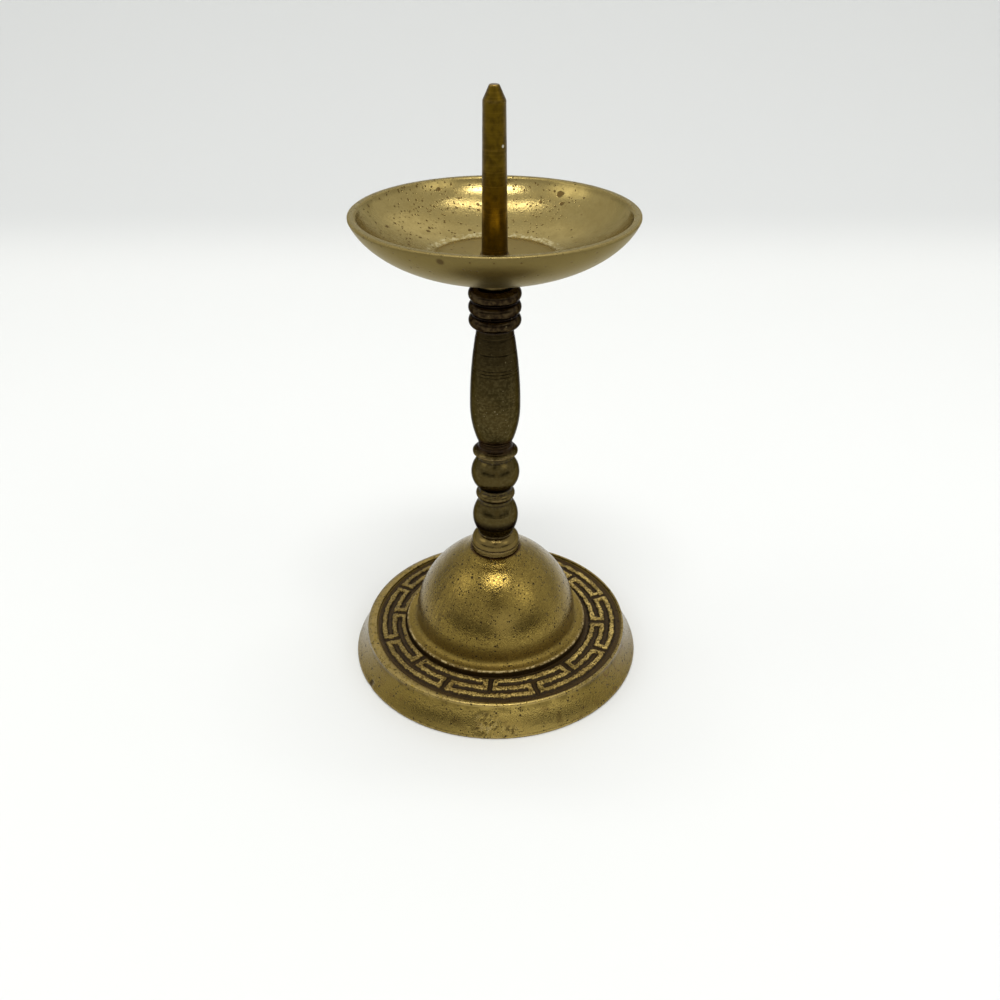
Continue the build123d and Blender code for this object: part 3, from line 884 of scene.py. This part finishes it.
def make_fastener_brass():
    finish = Finish("fastener_brass")
    w = finish.wiring
    mottle = finish.clouds(0.7, 0.36, 0.68, 12.0)
    pits = finish.pits(0.8, 0.34, 0.2, 4.0)
    colour = w.layered((0.27, 0.20, 0.08), [
        (mottle, 1.0, (0.16, 0.11, 0.045)),
        (pits, 0.7, (0.04, 0.025, 0.01)),
    ])
    roughness = w.math("MULTIPLY_ADD", mottle, 0.2, 0.36)
    return finish.surface(colour, roughness, 1.0, [(w.scaled(pits, -1.0), 0.04), (mottle, 0.015)])


FASTENER_BRASS = make_fastener_brass()
material_names = [material.name for material in bpy.data.materials]
print("finishes:", [name for name in material_names if name.endswith(("brass", "patina"))])

# %% [markdown]
# ## Geometry Nodes on a piece
# A tree that follows a rule is built once, with named inputs for its sizes. Its values go in by each
# socket's identifier before the piece is looked at, and the result is then kept as a plain mesh.

# %% Run a tree on a piece


def apply_tree(piece, tree, **values):
    """Runs a Geometry Nodes tree on a piece and keeps the result as its mesh."""
    modifier = piece.modifiers.new(tree.name, "NODES")
    modifier.node_group = tree
    for socket in tree.interface.items_tree:
        key = socket.name.lower().replace(" ", "_")
        if socket.in_out == "INPUT" and key in values:
            modifier[socket.identifier] = values[key]
    depsgraph = bpy.context.evaluated_depsgraph_get()
    made = bpy.data.meshes.new_from_object(
        piece.evaluated_get(depsgraph), preserve_all_data_layers=True, depsgraph=depsgraph)
    piece.modifiers.remove(modifier)
    piece.data = made
    return piece


def polar(wiring, off_centre=0.0):
    """Where a point lies round an axis that may be off centre: position, radius, angle and height."""
    middle = wiring.add("ShaderNodeCombineXYZ", {0: off_centre}).outputs[0]
    position = wiring.add("GeometryNodeInputPosition").outputs[0]
    position = wiring.vector("SUBTRACT", position, middle)
    parts = wiring.add("ShaderNodeSeparateXYZ", {0: position}).outputs
    flat = wiring.vector("MULTIPLY", position, (1, 1, 0))
    radius = wiring.vector("LENGTH", flat)
    return position, radius, wiring.math("ARCTAN2", parts[1], parts[0]), parts[2]


def finish_tree(wiring, entry, leave, geometry):
    """Ends a tree: real geometry, in its material."""
    real = wiring.add("GeometryNodeRealizeInstances", {0: geometry}).outputs[0]
    dressed = wiring.add("GeometryNodeSetMaterial", {"Geometry": real, "Material": entry["Material"]})
    wiring.feed(leave.inputs["Geometry"], dressed.outputs[0])
    return wiring.tree


# %% [markdown]
# ## The key band
# The pattern round the foot is one unbroken line that turns back on itself. It could be drawn as a curve
# and swept, but a cast line has no clean section: it swells, sinks and joins its neighbour. So the tree
# works out how far every point of the band is from the line and lifts it by that. Three rings of line, a
# pair of links on each side of every slot, and slots that alternate inwards and outwards make the whole
# pattern.

# %% The tree that raises the key line
wiring, entry, leave = open_group(
    "key_relief", "GeometryNodeTree",
    {"Geometry": "Geometry", "First radius": "Float", "Line width": "Float", "Line pitch": "Float",
     "Last line": "Float", "Slot width": "Float", "Repeats": "Float", "Turn": "Float", "Depth": "Float",
     "Off centre": "Float", "Softness": "Float", "Wander": "Float", "Seed": "Float", "Material": "Material"},
    {"Geometry": "Geometry"})
m = wiring.math
position, radius, angle, height = polar(wiring, entry["Off centre"])
first, width, pitch, slot = (entry[key] for key in ("First radius", "Line width", "Line pitch", "Slot width"))
half_width, half_slot = m("MULTIPLY", width, 0.5), m("MULTIPLY", slot, 0.5)
half_repeat = m("DIVIDE", math.pi, entry["Repeats"])
nearest = m("ROUND", m("DIVIDE", m("SUBTRACT", radius, first), pitch))
nearest = m("MINIMUM", m("MAXIMUM", nearest, 0.0), entry["Last line"])
line_radius = m("MULTIPLY_ADD", nearest, pitch, first)
away = m("SUBTRACT", m("ABSOLUTE", m("SUBTRACT", radius, line_radius)), half_width)
cuts = []
for inner_line in (0, 1):
    turned = m("SUBTRACT", m("SUBTRACT", angle, entry["Turn"]), m("MULTIPLY", half_repeat, inner_line))
    local = m("WRAP", turned, half_repeat, m("MULTIPLY", half_repeat, -1.0))
    middle = m("MULTIPLY_ADD", pitch, inner_line + 0.5, first)
    along = m("ABSOLUTE", m("SUBTRACT", m("MULTIPLY", radius, m("COSINE", local)), middle))
    across = m("ABSOLUTE", m("MULTIPLY", radius, m("SINE", local)))
    links = m("MAXIMUM", m("SUBTRACT", across, m("ADD", half_slot, width)),
              m("SUBTRACT", along, m("MULTIPLY", pitch, 0.5)))
    away = m("MINIMUM", away, links)
    cuts.append(m("MAXIMUM", m("SUBTRACT", across, half_slot), m("SUBTRACT", along, pitch)))
for cut in cuts:
    away = m("MAXIMUM", away, m("MULTIPLY", cut, -1.0))
wobble = wiring.noise(position, 0.8 / MM, 4.0, entry["Seed"])
ragged = wiring.noise(position, 2.2 / MM, 2.0, m("ADD", entry["Seed"], 5.0))
wobble = m("MULTIPLY_ADD", m("SUBTRACT", ragged, 0.5), 0.5, wobble)
away = m("MULTIPLY_ADD", m("SUBTRACT", wobble, 0.5), entry["Wander"], away)
raised = wiring.fade(away, entry["Softness"], m("MULTIPLY", entry["Softness"], -1.0))
uneven = wiring.fade(wiring.noise(position, 0.35 / MM, 3.0, m("ADD", entry["Seed"], 7.0)), 0.25, 0.75)
raised = m("MULTIPLY", raised, m("MULTIPLY_ADD", uneven, 0.45, 0.55))
band = wiring.add("GeometryNodeInputNamedAttribute", {"Name": "band"}, data_type="FLOAT").outputs[0]
raised = m("MULTIPLY", raised, band)
grain = wiring.noise(position, 1.3 / MM, 3.0, m("ADD", entry["Seed"], 3.0))
pitted = m("MULTIPLY", m("MULTIPLY", m("SUBTRACT", grain, 0.5), band), 0.18)
lift = m("MULTIPLY", m("ADD", raised, pitted), entry["Depth"])
offset = wiring.add("ShaderNodeCombineXYZ", {2: lift}).outputs[0]
shaped = wiring.add("GeometryNodeSetPosition", {"Geometry": entry["Geometry"], "Offset": offset}).outputs[0]
for label, value in (("relief", raised), ("away", m("DIVIDE", away, MM))):
    values = {"Geometry": shaped, "Name": label, "Value": value}
    stored = wiring.add("GeometryNodeStoreNamedAttribute", values, data_type="FLOAT", domain="POINT")
    shaped = stored.outputs[0]
KEY_RELIEF = finish_tree(wiring, entry, leave, shaped)
print("key_relief:", len(KEY_RELIEF.nodes), "nodes")

# %% [markdown]
# ## The foot
# The foot is one casting: skirt, rim, sunk band, flange and dome, hollow underneath. Its rows are close
# together in the band and wide apart inside. The band lies a little to one side of the rim, as on the real
# casting, so the flat border is broad at the left and thin at the right, and the skirt has a small nick
# near its lower edge. The dome is drawn in by less than a millimetre towards its top, which makes it a
# little more pointed than half a ball, and runs into the flange in a small cove.

# %% The foot
BAND_FINE = 0.18 * MM
CASTING_STEP = 0.45 * MM
HIDDEN_STEP = 1.0 * MM
KEY = {"first_radius": 23.6 * MM, "line_width": 1.2 * MM, "line_pitch": 2.42 * MM, "last_line": 2.0,
       "slot_width": 1.2 * MM, "repeats": 8.0, "turn": math.radians(-94.4), "depth": 0.7 * MM,
       "softness": 0.14 * MM, "wander": 0.95 * MM, "off_centre": 0.65 * MM, "seed": 2.0}
DOME_SHAPED = np.array([12.0, 15.0, 19.3, 24.0, 29.2]) * MM
DOME_DRAWN_IN = np.array([0.0, 0.2, 0.5, 0.8, 0.7]) * MM
COVE_BLUR = 0.9 * MM
COVE_REACH = 1.6 * MM
RIM_SHIFT = 0.85 * MM
RIM_BROADENING = 0.45 * MM
RIM_EDGE = 31.9 * MM
NICK_TURN = math.radians(-150)
BAND_COLUMNS, SKIRT_COLUMNS, DOME_COLUMNS, HIDDEN_COLUMNS = 1024, 512, 256, 128
SKIRT_STEP = 0.3 * MM
EDGE_BLUR = 0.07 * MM
BAND_RUN_IN = 0.35 * MM
SEAM_RADIUS, SEAM_FADE = 5.9 * MM, 2.5 * MM
RIM_INNER, RIM_RUN_IN, RIM_RUN_OUT = 29.0 * MM, 1.6 * MM, 0.7 * MM
NICK_HEIGHT, NICK_MM, NICK_DEPTH_SHARE = 1.3 * MM, 0.8, 0.016
ROUGH_SIZE_MM = np.array([3.4, 3.0, 1.5])
ROUGH_PER_MM, ROUGH_DEPTH_SHARE = 1.1, 0.009


def wear_foot(points, band_floor, foot_radius):
    """Moves the inner edge of the rim to one side, and makes the nick and the rough cast patch."""
    around = np.hypot(points[:, 0], points[:, 1])
    ramp = np.clip((around - RIM_INNER) / RIM_RUN_IN, 0, 1)
    ramp *= np.clip((RIM_EDGE - around) / RIM_RUN_OUT, 0, 1) * (points[:, 2] > band_floor - 0.3 * MM)
    points[:, 0] += (RIM_SHIFT - RIM_BROADENING * points[:, 0] / np.maximum(around, MM)) * ramp
    nick = np.array([math.cos(NICK_TURN), math.sin(NICK_TURN), 0]) * foot_radius + [0, 0, NICK_HEIGHT]
    far = np.linalg.norm((points - nick) / MM, axis=1)
    points[:, :2] *= (1 - NICK_DEPTH_SHARE * np.exp(-(far / NICK_MM) ** 2))[:, None]
    rough = (points - np.array(ROUGH_PATCH) * MM) / MM / ROUGH_SIZE_MM
    share = np.exp(-np.sum(rough ** 2, axis=1))
    for index in np.flatnonzero(share > 0.05):
        bump = noise.fractal(Vector(points[index] / MM * ROUGH_PER_MM), 0.8, 2.0, 3)
        points[index, :2] *= 1 + (min(bump, 0.0) * ROUGH_DEPTH_SHARE) * share[index]


def make_foot():
    outline, closed = seam_outline("base")
    band_inner, band_outer = sorted((outline[0][0], outline[-1][0]))
    band_floor = outline[0][1]
    fine, known = refine(outline, closed, EDGE_BLUR)
    radius, height = fine.T
    rim_top = height[radius > band_outer].max()
    foot_radius = radius.max()
    on_top = (height > band_floor - 0.2 * MM) & (radius > band_inner - 0.5 * MM)
    in_band = on_top & (radius < band_outer + 0.2 * MM) & (height < rim_top - 0.1 * MM)
    skirt = (radius > band_outer) & ~in_band
    along = np.arange(len(fine))
    inner_start, inner_end = sorted((np.argmax(height), np.argmax(radius)))
    hidden = (along > inner_start) & (along < inner_end) & (radius < foot_radius - 1.5 * MM)
    dome = ~hidden & (radius < band_inner) & (height > DOME_SHAPED[0])
    off_seam = np.clip((radius - SEAM_RADIUS) / SEAM_FADE, 0, 1)
    drawn_in = np.interp(height, DOME_SHAPED, DOME_DRAWN_IN) * off_seam
    fine[dome, 0] -= drawn_in[dome]
    dish = ~hidden & (radius > 15 * MM) & (radius < band_inner - 1 * MM)
    corner = fine[dish][np.argmin(height[dish])]
    near_corner = np.exp(-np.sum((fine - corner) ** 2, axis=1) / COVE_REACH ** 2) * ~hidden
    rounded = np.stack([blurred(fine[:, axis], COVE_BLUR, closed) for axis in (0, 1)], axis=1)
    fine += (rounded - fine) * near_corner[:, None]
    spacing = np.full(len(fine), CASTING_STEP)
    for part, step in ((hidden, HIDDEN_STEP), (skirt, SKIRT_STEP), (in_band, BAND_FINE)):
        spacing[part] = step
    rows = pick_rows(fine, spacing, closed)
    columns = np.full(len(fine), DOME_COLUMNS)
    for part, count in ((skirt, SKIRT_COLUMNS), (in_band, BAND_COLUMNS), (hidden, HIDDEN_COLUMNS)):
        columns[part] = count
    columns = columns[rows]
    for _ in range(3):
        neighbours = np.maximum(np.roll(columns, 1), np.roll(columns, -1))
        columns = np.maximum(columns, neighbours // 2)
    inset = np.minimum(radius - band_inner, band_outer - radius)
    known["band"] = np.clip(inset / BAND_RUN_IN, 0, 1) * in_band
    piece = spin("foot", fine[rows], columns, closed, {label: known[label][rows] for label in known})
    points = np.empty(len(piece.data.vertices) * 3)
    piece.data.vertices.foreach_get("co", points)
    points = points.reshape(-1, 3)
    wear_foot(points, band_floor, foot_radius)
    piece.data.vertices.foreach_set("co", points.ravel())
    return apply_tree(piece, KEY_RELIEF, material=CAST_BRASS, **KEY)


foot = make_foot()
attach(foot, "stand")
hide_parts("base")

# %% [markdown]
# ## Threads
# A thread is a groove that climbs one pitch a turn. The tree takes the height of each point less its share
# of a turn, so the groove winds by itself, and pulls the point inwards there. It fades out at both ends, as
# a cut thread does.

# %% The tree that cuts a thread
wiring, entry, leave = open_group(
    "thread", "GeometryNodeTree",
    {"Geometry": "Geometry", "Bottom": "Float", "Top": "Float", "Pitch": "Float", "Depth": "Float",
     "Material": "Material"},
    {"Geometry": "Geometry"})
m = wiring.math
position, radius, angle, height = polar(wiring)
winding = m("SUBTRACT", m("DIVIDE", height, entry["Pitch"]), m("DIVIDE", angle, 2 * math.pi))
groove = wiring.fade(m("ABSOLUTE", m("SUBTRACT", m("FRACT", winding), 0.5)), 0.40, 0.08)
runout = m("MULTIPLY", entry["Pitch"], 0.8)
into = wiring.fade(height, entry["Bottom"], m("ADD", entry["Bottom"], runout))
out_of = wiring.fade(height, entry["Top"], m("SUBTRACT", entry["Top"], runout))
groove = m("MULTIPLY", groove, m("MULTIPLY", into, out_of))
share = m("DIVIDE", m("MULTIPLY", m("MULTIPLY", groove, entry["Depth"]), -1.0), m("MAXIMUM", radius, 1e-5))
inwards = wiring.vector("MULTIPLY", position, (1, 1, 0))
inwards = wiring.vector("SCALE", inwards, share)
cut = wiring.add("GeometryNodeSetPosition", {"Geometry": entry["Geometry"], "Offset": inwards}).outputs[0]
THREAD = finish_tree(wiring, entry, leave, cut)
print("thread:", len(THREAD.nodes), "nodes")

# %% [markdown]
# ## The stem, the pan and the spike
# These three were turned, so they are spun from their outlines. The stem's stud and the spike's tail get
# their threads, which show only under the nut and when the spike is screwed out.

# %% The stem
foot_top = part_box("base")[1].z
stem_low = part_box("stem")[0].z
STEM_GROOVES = [
    (83.2, 0.07, 0.16), (80.0, 0.05, 0.14), (76.6, 0.05, 0.14), (75.9, 0.06, 0.14), (75.2, 0.04, 0.14),
    (58.4, 0.08, 0.14), (57.8, 0.09, 0.14), (57.2, 0.09, 0.14), (56.5, 0.10, 0.10), (56.1, 0.10, 0.10),
]
stem = turned_piece("stem_turning", "stem", 0.05 * MM, 0.16 * MM, 96, STEM_GROOVES)
stem = apply_tree(stem, THREAD, bottom=stem_low, top=foot_top - 2 * MM, pitch=0.8 * MM, depth=0.4 * MM,
                  material=STEM_PATINA)
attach(stem, "stand")
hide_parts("stem")

# %% The drip pan
pan = turned_piece("pan_turning", "drip_pan", 0.12 * MM, 0.32 * MM, 224)
pan.data.materials.append(PAN_BRASS)
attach(pan, "pan")
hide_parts("drip_pan")

# %% The spike
spike_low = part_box("spike")[0].z
pan_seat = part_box("drip_pan")[0].z
spike = turned_piece("spike_turning", "spike", 0.08 * MM, 0.09 * MM, 72)
spike = apply_tree(spike, THREAD, bottom=spike_low, top=pan_seat + 6 * MM, pitch=0.7 * MM, depth=0.35 * MM,
                   material=SPIKE_BRASS)
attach(spike, "spike")
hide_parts("spike")

# %% [markdown]
# ## The nut and the washer
# Both solids already have the right shape, so they stay, in a dull brass of their own.

# %% The nut and the washer
for node in ("base_nut", "base_washer"):
    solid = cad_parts[node]
    solid.data.materials.clear()
    solid.data.materials.append(FASTENER_BRASS)
